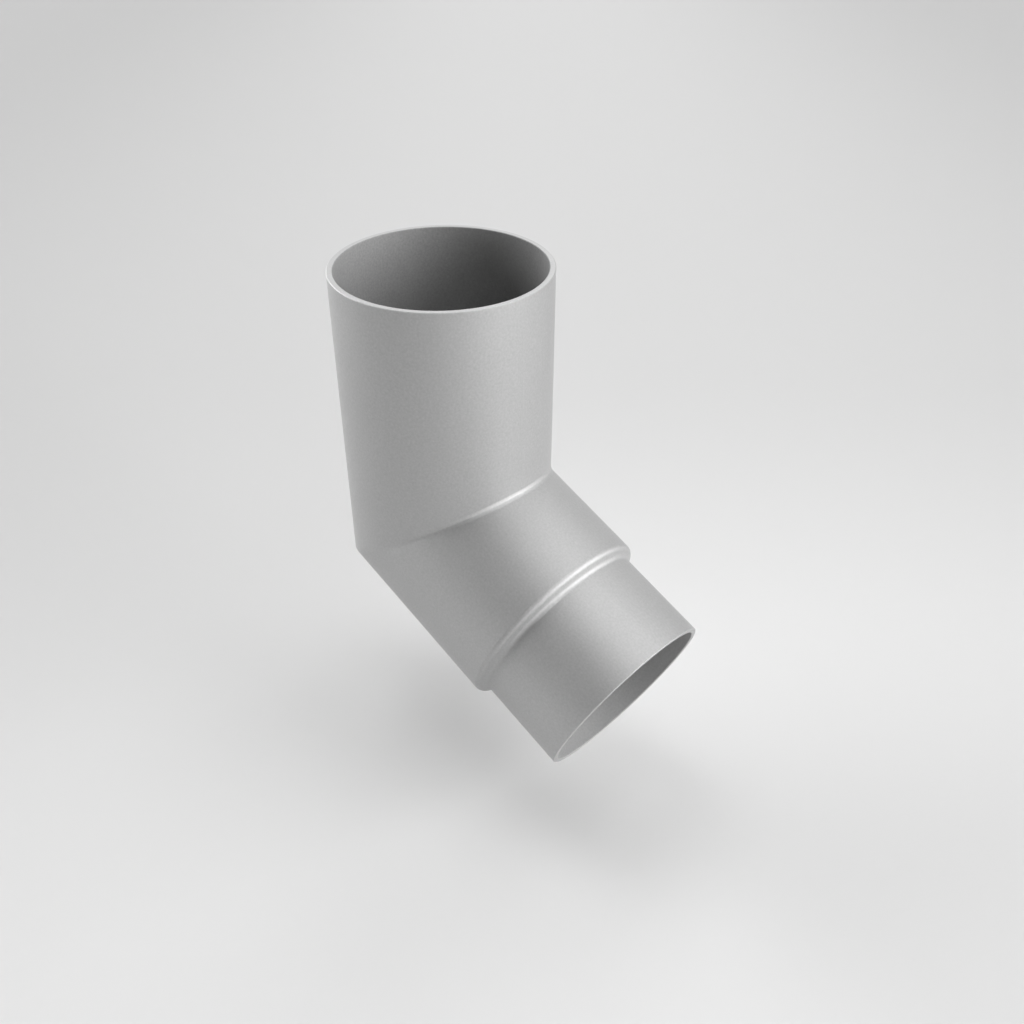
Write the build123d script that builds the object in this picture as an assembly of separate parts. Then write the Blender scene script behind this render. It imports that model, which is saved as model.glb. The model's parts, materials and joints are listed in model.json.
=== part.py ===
from build123d import *

import math
import os

# Mitred elbow for a round downpipe, in one piece with one even wall: a plain socket
# at the top, one oblique mitre, and a swaged spigot that pushes into the next pipe.
# The socket stands along +Z with its mouth at the origin, and the outlet leans to +X.
# Sizes are in millimetres and angles in degrees.

# Driving dimensions
pipe_outer_diameter = 102.0
wall = 2.8
bend_angle = 67.5
mitre_radius = 3.0
knee_land = 5.7
socket_depth = 90.0
outlet_straight = 37.5
shoulder_inner_radius = 0.2
swage_slope = 60.0
root_outer_radius = 3.0
spigot_play = 1.95
spigot_length = 45.75
rim_chamfer = 0.3

# Radii of the pipe and of the spigot, which slides into a bore like the elbow's own
pipe_radius = pipe_outer_diameter / 2
bore_radius = pipe_radius - wall
spigot_radius = bore_radius - spigot_play

# The mitre halves the angle between the legs. Past the knee's length they are full round pipe.
half_bend = math.radians(bend_angle / 2)
knee_length = (pipe_radius + mitre_radius) * math.tan(half_bend) + knee_land

# The legs' axes meet at the knee's centre
knee_centre = Vector(0, 0, -(socket_depth + knee_length))
up = Vector(0, 0, 1)
outlet = Vector(math.sin(2 * half_bend), 0, -math.cos(2 * half_bend))
throat_side = (up + outlet).normalized()
flow = (outlet - up).normalized()

# An arc rounds the axis off at the knee, and the pipe's section follows it
axis_middle = knee_centre + throat_side * mitre_radius * (1 / math.cos(half_bend) - 1)

# The swage is two folds with a short cone between them, placed along the outlet's axis
slope = math.radians(swage_slope)
shoulder_radius = shoulder_inner_radius + wall
fold_reach = math.tan(slope / 2)
cone_drop = pipe_radius - spigot_radius
shoulder_corner = knee_length + outlet_straight + shoulder_radius * fold_reach
root_corner = shoulder_corner + cone_drop / math.tan(slope)
spigot_end = root_corner + root_outer_radius * fold_reach + spigot_length

# What is cut away runs past the part by this much
overshoot = 2 * wall

# A bar stands on the middle of its lower end
STANDING = (Align.CENTER, Align.CENTER, Align.MIN)


def bend_end(leg):
    """Where the rounded axis of the bend runs straight into a leg."""
    return knee_centre + leg * mitre_radius * math.tan(half_bend)


def mitre_section(middle, radius, onward):
    """The pipe's section parallel to the mitre, which is an ellipse."""
    return Plane(middle, x_dir=throat_side, z_dir=onward) * Ellipse(radius / math.cos(half_bend), radius)


def half_turn(radius, leg, onward):
    """One side of the rounded mitre: its ellipse carried along the axis's arc, without turning."""
    arc = TangentArc(axis_middle, bend_end(leg), tangent=onward)
    return sweep(mitre_section(axis_middle, radius, onward), path=arc, normal=onward)


def leg_bar(radius, leg, onward, reach):
    """A leg as a round bar: cut parallel to the mitre where the arc ends, and square at its reach."""
    heel = radius * math.tan(half_bend) + overshoot
    bar = Plane(knee_centre - leg * heel, z_dir=leg) * Cylinder(radius, heel + reach, align=STANDING)
    arc_end = Plane(bend_end(leg), x_dir=throat_side, z_dir=onward)
    return split(bar, bisect_by=arc_end, keep=Keep.TOP)


def socket_bore():
    """The socket's bore, square at its depth, and the ruled stretch from there to the bend."""
    depth_end = Plane((0, 0, -socket_depth), x_dir=throat_side, z_dir=up)
    bore = depth_end * Cylinder(bore_radius, socket_depth + overshoot, align=STANDING)
    stretch = [mitre_section(bend_end(up), bore_radius, -flow), depth_end * Circle(bore_radius)]
    return bore + loft(stretch, ruled=True)


def swaged_end(inset, extra):
    """The outlet's full round pipe, swage and spigot, turned about the outlet's axis."""
    fold_shift = inset * fold_reach
    outline = FilletPolyline(
        (pipe_radius - inset, knee_length),
        (pipe_radius - inset, shoulder_corner - fold_shift),
        (spigot_radius - inset, root_corner - fold_shift),
        (spigot_radius - inset, spigot_end + extra),
        radius=[shoulder_radius - inset, root_outer_radius + inset],
    )
    closing = Polyline(outline @ 1, (0, spigot_end + extra), (0, knee_length), outline @ 0)
    turned = revolve(Plane.XZ * make_face(outline + closing), Axis.Z)
    return Plane(knee_centre, x_dir=throat_side, z_dir=outlet) * turned


def knee_and_outlet(inset, extra):
    """The rounded mitre and all that follows it, with its surface moved in by the inset."""
    radius = pipe_radius - inset
    mitre = half_turn(radius, up, -flow) + half_turn(radius, outlet, flow)
    return mitre + leg_bar(radius, outlet, flow, knee_length) + swaged_end(inset, extra)


outside = leg_bar(pipe_radius, up, -flow, knee_length + socket_depth) + knee_and_outlet(0, 0)
passage = socket_bore() + knee_and_outlet(wall, overshoot)
elbow = outside - passage

# The sawn edges of the mouth and of the outlet are eased
socket_rim = elbow.faces().sort_by(Axis(knee_centre, up))[-1]
outlet_rim = elbow.faces().sort_by(Axis(knee_centre, outlet))[-1]
elbow = chamfer(socket_rim.edges() + outlet_rim.edges(), min(rim_chamfer, wall / 3))

os.makedirs("parts", exist_ok=True)
export_step(elbow, "parts/elbow_body.step")
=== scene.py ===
import json
import math

import bpy
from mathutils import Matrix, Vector


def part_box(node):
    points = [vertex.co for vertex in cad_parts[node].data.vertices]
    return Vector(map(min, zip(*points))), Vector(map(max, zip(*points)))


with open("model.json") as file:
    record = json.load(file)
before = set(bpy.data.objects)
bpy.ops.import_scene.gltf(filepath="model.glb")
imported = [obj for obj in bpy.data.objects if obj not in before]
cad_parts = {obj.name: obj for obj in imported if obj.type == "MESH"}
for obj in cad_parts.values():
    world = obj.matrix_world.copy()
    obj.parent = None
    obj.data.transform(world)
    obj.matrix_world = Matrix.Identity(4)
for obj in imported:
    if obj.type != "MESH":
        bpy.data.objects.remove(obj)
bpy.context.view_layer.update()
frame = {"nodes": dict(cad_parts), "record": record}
scene = bpy.context.scene

# The elbow's own sizes, in metres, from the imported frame
mounts = {mount["name"]: mount for mount in frame["record"]["mounts"]}
elbow_low, elbow_high = (Vector(corner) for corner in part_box("elbow_body"))
PIPE_RADIUS = (elbow_high.y - elbow_low.y) / 2
BORE_RADIUS = mounts["upper_socket"]["dims"]["r_mm"] / 1000
WALL = PIPE_RADIUS - BORE_RADIUS

# The socket's axis is the Z axis. The outlet's axis meets it at the knee.
UP = Vector((0, 0, 1))
OUTLET = Vector(mounts["lower_spigot"]["axis"]).normalized()
OUTLET_RIM = Vector(mounts["lower_spigot"]["pos_m"])
KNEE = OUTLET_RIM - OUTLET * (OUTLET_RIM.x / OUTLET.x)
OUTLET_REACH = (OUTLET_RIM - KNEE).length
SOCKET_REACH = -KNEE.z

# The elbow hangs a little above the floor, as the photograph's shadow shows
FLOOR_GAP = 0.03
FLOOR_HEIGHT = elbow_low.z - FLOOR_GAP
FLOOR_HALF_WIDTH = 8.0
STUDIO_MIDDLE = (elbow_low + elbow_high) / 2

# The photograph's camera
PHOTO_PIXELS = 1024
FOCAL_PIXELS = 1031.04
SENSOR_WIDTH = 36.0
CAMERA_PLACE = Vector((0.3311, -0.28734, 0.17607))
CAMERA_PITCH = math.radians(35.4)
CAMERA_HEADING = math.radians(44.95)
VIEW_START = 0.01
VIEW_END = 50.0

# Broad soft lamps, so far off that they light the floor evenly: name, azimuth and elevation
# in degrees, and the light that each sends to a surface facing it
LAMP_SPREAD = math.radians(26)
LAMPS = [
    ("lamp_left_high", 180, 70, 0.53),
    ("lamp_behind_left", 126, 48, 0.4),
    ("lamp_behind_high", 60, 70, 0.345),
    ("lamp_right", 342, 48, 0.3),
    ("lamp_overhead", 0, 90, 0.275),
    ("lamp_behind", 90, 48, 0.22),
]

# Wide glows along the horizon, given in the same way
GLOW_SPREAD = math.radians(66)
GLOWS = [
    ("glow_right", 30, 6, 3.92),
    ("glow_left", 198, 6, 3.83),
    ("glow_outlet_side", 0, 6, 1.16),
    ("glow_behind", 120, 6, 0.59),
]

# Tones, as linear greys. The metal's are the darkest and the lightest of its grain.
SATIN_TONES = (0.41, 0.55)
SAWN_TONES = (0.5, 0.62)
# The bores' tones are painted shade on a matt grey: darker in the socket's deep bore than in the
# outlet's.
SOCKET_BORE_PAINTED_SHADE_TONES = (0.215, 0.365)
OUTLET_BORE_PAINTED_SHADE_TONES = (0.3, 0.45)
# The outlet's sawn end gets only this share of the lightening; the rest is held back as painted
# shade.
OUTLET_RIM_SHARE_WITH_PAINTED_SHADE = 0.3
# The floor's tones are a painted pool of light: lightest round the elbow, darker behind it and
# darkest at the sides.
FLOOR_PAINTED_POOL_TONE = 0.74
FLOOR_PAINTED_FALLOFF_BEHIND_TONE = 0.645
FLOOR_PAINTED_FALLOFF_SIDE_TONE = 0.53
BACKGROUND_TONE = 0.2

# The metal's finish: sizes in metres, each noise's part in the tone, and how dull the metal is
NOISE_ROUGHNESS = 0.6
GRAIN_SIZE = 0.001
GRAIN_DETAIL = 1.0
GRAIN_HEIGHT = 0.00004
GRAIN_SHARE = 0.8
MOTTLE_SIZE = 0.02
MOTTLE_DETAIL = 3.0
MOTTLE_SHARE = 0.2
METAL_ROUGHNESS = 0.6
METAL_ROUGHNESS_RANGE = 0.06

# How squarely a surface faces its pipe's axis where the bore's matt finish and painted shade start
# and are full, and how squarely a sawn end faces out
BORE_FACING = (-0.15, -0.3)
SAWN_FACING = 0.9

# The floor's paper, in metres
FIBRE_SIZE = 0.004
FIBRE_DETAIL = 2.0
PAPER_ROUGHNESS = 0.95
PAPER_ROUGHNESS_RANGE = 0.05

# The floor has a painted pool of light, lightest round the elbow. Painted falloff darkens it going
# away behind it, and to both sides:
# where each change starts and ends, in metres along the floor.
FLOOR_AWAY = Vector((-math.sin(CAMERA_HEADING), math.cos(CAMERA_HEADING), 0))
FLOOR_ACROSS = Vector((math.cos(CAMERA_HEADING), math.sin(CAMERA_HEADING), 0))
PAINTED_FALLOFF_BEHIND = (-0.07, 0.40)
PAINTED_FALLOFF_SIDES = (0.05, 1.02)
PAINTED_POOL_MIDDLE = 0.116


def grey(tone):
    return (tone, tone, tone, 1.0)


class Wire:
    """One output socket of a node tree, with maths on it written as Python."""

    def __init__(self, wiring, socket):
        self.wiring = wiring
        self.socket = socket

    def output(self, name):
        """Another output of the node that this one comes from."""
        return Wire(self.wiring, self.socket.node.outputs[name])

    def maths(self, operation, *values):
        kind = "ShaderNodeVectorMath" if self.socket.type == "VECTOR" else "ShaderNodeMath"
        return self.wiring.add(kind, {"operation": operation}, dict(enumerate(values)))

    def __add__(self, other):
        return self.maths("ADD", self, other)

    __radd__ = __add__

    def __sub__(self, other):
        return self.maths("SUBTRACT", self, other)

    def __rsub__(self, other):
        return self.maths("SUBTRACT", other, self)

    def __mul__(self, other):
        return self.maths("MULTIPLY", self, other)

    def __gt__(self, other):
        return self.maths("GREATER_THAN", self, other)

    def __abs__(self):
        return self.maths("ABSOLUTE", self)

    def __or__(self, other):
        """1 where either is 1."""
        return self.maths("MAXIMUM", self, other)

    def unit(self):
        return self.maths("NORMALIZE", self)

    def dot(self, direction):
        return self.maths("DOT_PRODUCT", self, direction)

    def along(self, direction):
        """The direction, made as long as this number says."""
        sockets = {0: direction, "Scale": self}
        return self.wiring.add("ShaderNodeVectorMath", {"operation": "SCALE"}, sockets)

    def ramp(self, low, high):
        """A soft step from 0 at low to 1 at high."""
        sockets = {"Value": self, "From Min": low, "From Max": high}
        return self.wiring.add("ShaderNodeMapRange", {"interpolation_type": "SMOOTHSTEP"}, sockets)

    def between(self, at_zero, at_one):
        """A number that goes from the first value to the second as this one goes from 0 to 1."""
        return at_zero + (at_one - at_zero) * self

    def tint(self, at_zero, at_one):
        """The same for two colours."""
        sockets = {"Factor_Float": self, "A_Color": at_zero, "B_Color": at_one}
        return self.wiring.add("ShaderNodeMix", {"data_type": "RGBA"}, sockets)

    def greys(self, at_zero, at_one):
        """The same for two greys, given as numbers."""
        return self.tint(grey(at_zero), grey(at_one))


class Wiring:
    """A node tree, to which one method adds any node."""

    def __init__(self, tree):
        self.tree = tree
        tree.nodes.clear()

    def add(self, kind, settings=None, sockets=None):
        """Add a node, make its settings, then fill its sockets. It gives the node's first output."""
        node = self.tree.nodes.new(kind)
        for name, value in (settings or {}).items():
            setattr(node, name, value)
        for key, value in (sockets or {}).items():
            self.fill(self.find(node.inputs, key), value)
        live = [socket for socket in node.outputs if socket.enabled]
        return Wire(self, live[0]) if live else None

    def fill(self, socket, value):
        if isinstance(value, Wire):
            self.tree.links.new(value.socket, socket)
        else:
            socket.default_value = value

    @staticmethod
    def find(sockets, key):
        named = [socket for socket in sockets if socket.identifier == key]
        return named[0] if named else sockets[key]


def new_material(name):
    material = bpy.data.materials.new(name)
    material.use_nodes = True
    return material, Wiring(material.node_tree)


def off_axis(place, axis):
    """How a place lies off an axis through the knee, square to it."""
    from_knee = place - KNEE
    return from_knee - from_knee.dot(axis).along(axis)


def on_socket_leg(place):
    """1 on the socket's side of the mitre, 0 on the outlet's side."""
    return (place - KNEE).dot(UP - OUTLET) > 0


def in_bore(place, normal):
    """1 where the surface faces its own pipe's axis, 0 on the rims and outside."""
    socket_facing = normal.dot(off_axis(place, UP).unit())
    outlet_facing = normal.dot(off_axis(place, OUTLET).unit())
    return on_socket_leg(place).between(outlet_facing, socket_facing).ramp(*BORE_FACING)


def on_sawn_rim(place, normal):
    """1 on the socket's sawn end, less on the outlet's sawn end, where the lightening is held back as
    painted shade, and 0 elsewhere.
    """
    from_knee = place - KNEE
    at_socket_end = from_knee.dot(UP) > SOCKET_REACH - WALL / 2
    at_outlet_end = from_knee.dot(OUTLET) > OUTLET_REACH - WALL / 2
    socket_rim = at_socket_end * (normal.dot(UP) > SAWN_FACING)
    outlet_rim = at_outlet_end * (normal.dot(OUTLET) > SAWN_FACING)
    # The outlet's end is kept darker than the socket's: painted shade.
    return socket_rim + outlet_rim * OUTLET_RIM_SHARE_WITH_PAINTED_SHADE


def noise(wiring, place, size, detail):
    """Noise with features of the size, in metres."""
    sockets = {
        "Vector": place,
        "Scale": 1 / size,
        "Detail": detail,
        "Roughness": NOISE_ROUGHNESS,
    }
    return wiring.add("ShaderNodeTexNoise", {}, sockets)


def around(middle, span, noise_value):
    """The middle value, spread by noise over the span."""
    return middle + (noise_value - 0.5) * span


def satin_metal():
    """Satin silver grey outside with a fine metallic grain, bright sawn ends (the outlet's held
    darker as painted shade), and a dull grey bore with painted shade, darkest in the socket.
    """
    material, wiring = new_material("satin_metal")
    spot = wiring.add("ShaderNodeTexCoord")
    place = spot.output("Object")
    normal = spot.output("Normal")
    rim = on_sawn_rim(place, normal)
    bore = in_bore(place, normal) * (1 - rim)
    grain = noise(wiring, place, GRAIN_SIZE, GRAIN_DETAIL)
    mottle = noise(wiring, place, MOTTLE_SIZE, MOTTLE_DETAIL)
    tone = grain * GRAIN_SHARE + mottle * MOTTLE_SHARE
    outside = rim.tint(tone.greys(*SATIN_TONES), tone.greys(*SAWN_TONES))
    # Painted shade: the bore is darker in the socket than in the outlet.
    matt_bore_with_painted_shade = on_socket_leg(place).tint(tone.greys(*OUTLET_BORE_PAINTED_SHADE_TONES), tone.greys(*SOCKET_BORE_PAINTED_SHADE_TONES))
    grained = wiring.add("ShaderNodeBump", {}, {
        "Strength": 1.0,
        "Distance": GRAIN_HEIGHT,
        "Height": grain,
    })
    shader = wiring.add("ShaderNodeBsdfPrincipled", {}, {
        "Base Color": bore.tint(outside, matt_bore_with_painted_shade),
        "Metallic": 1 - bore,
        "Roughness": around(METAL_ROUGHNESS, METAL_ROUGHNESS_RANGE, mottle),
        "Normal": grained,
    })
    wiring.add("ShaderNodeOutputMaterial", {}, {"Surface": shader})
    return material


def painted_pool_floor_paper():
    """Matt pale paper with a painted pool of light, darker away from the elbow."""
    material, wiring = new_material("painted_pool_floor_paper")
    place = wiring.add("ShaderNodeTexCoord").output("Object")
    # Painted light: the paper's tone falls off behind the elbow and to the sides.
    behind = place.dot(FLOOR_AWAY).ramp(*PAINTED_FALLOFF_BEHIND)
    aside = abs(place.dot(FLOOR_ACROSS) - PAINTED_POOL_MIDDLE).ramp(*PAINTED_FALLOFF_SIDES)
    painted_pool_tone = behind.greys(FLOOR_PAINTED_POOL_TONE, FLOOR_PAINTED_FALLOFF_BEHIND_TONE)
    fibre = noise(wiring, place, FIBRE_SIZE, FIBRE_DETAIL)
    shader = wiring.add("ShaderNodeBsdfPrincipled", {}, {
        "Base Color": aside.tint(painted_pool_tone, grey(FLOOR_PAINTED_FALLOFF_SIDE_TONE)),
        "Roughness": around(PAPER_ROUGHNESS, PAPER_ROUGHNESS_RANGE, fibre),
        "Specular IOR Level": 0.0,
    })
    wiring.add("ShaderNodeOutputMaterial", {}, {"Surface": shader})
    return material


def towards(azimuth, elevation):
    """The direction at an azimuth and elevation in degrees."""
    azimuth = math.radians(azimuth)
    elevation = math.radians(elevation)
    level = math.cos(elevation)
    return Vector((level * math.cos(azimuth), level * math.sin(azimuth), math.sin(elevation)))


def link_object(name, data):
    thing = bpy.data.objects.new(name, data)
    scene.collection.objects.link(thing)
    return thing


def dress_elbow():
    """The elbow stays as it was packed, and gets its finish."""
    elbow = frame["nodes"]["elbow_body"]
    metal = satin_metal()
    for slot in elbow.material_slots:
        slot.material = metal


def make_floor():
    half = FLOOR_HALF_WIDTH
    corners = [(-half, -half, 0), (half, -half, 0), (half, half, 0), (-half, half, 0)]
    mesh = bpy.data.meshes.new("floor")
    mesh.from_pydata(corners, [], [(0, 1, 2, 3)])
    mesh.materials.append(painted_pool_floor_paper())
    floor = link_object("floor", mesh)
    floor.location.z = FLOOR_HEIGHT


def make_lamp(name, azimuth, elevation, power, spread):
    """A soft lamp, as far off as the sun, that faces the elbow."""
    light = bpy.data.lights.new(name, "SUN")
    light.angle = spread
    light.energy = power
    lamp = link_object(name, light)
    lamp.location = STUDIO_MIDDLE + towards(azimuth, elevation)
    lamp.rotation_euler = towards(azimuth, elevation).to_track_quat("Z", "Y").to_euler()


def make_world():
    """Plain grey to the camera and in reflections. The lamps alone light the floor."""
    world = bpy.data.worlds.new("studio")
    world.use_nodes = True
    wiring = Wiring(world.node_tree)
    rays = wiring.add("ShaderNodeLightPath")
    mirrored = rays.output("Is Glossy Ray") | rays.output("Is Transmission Ray")
    shown = rays.output("Is Camera Ray") | mirrored
    sockets = {"Color": grey(1.0), "Strength": shown * BACKGROUND_TONE}
    background = wiring.add("ShaderNodeBackground", {}, sockets)
    wiring.add("ShaderNodeOutputWorld", {}, {"Surface": background})
    scene.world = world


def make_camera():
    data = bpy.data.cameras.new("photo_camera")
    data.sensor_width = SENSOR_WIDTH
    data.lens = SENSOR_WIDTH * FOCAL_PIXELS / PHOTO_PIXELS
    data.clip_start = VIEW_START
    data.clip_end = VIEW_END
    camera = link_object("photo_camera", data)
    camera.location = CAMERA_PLACE
    camera.rotation_euler = (math.pi / 2 - CAMERA_PITCH, 0.0, CAMERA_HEADING)
    scene.camera = camera


make_camera()
make_floor()
make_world()
for lamp_values in LAMPS:
    make_lamp(*lamp_values, LAMP_SPREAD)
for glow_values in GLOWS:
    make_lamp(*glow_values, GLOW_SPREAD)
dress_elbow()
scene.view_settings.view_transform = "Standard"
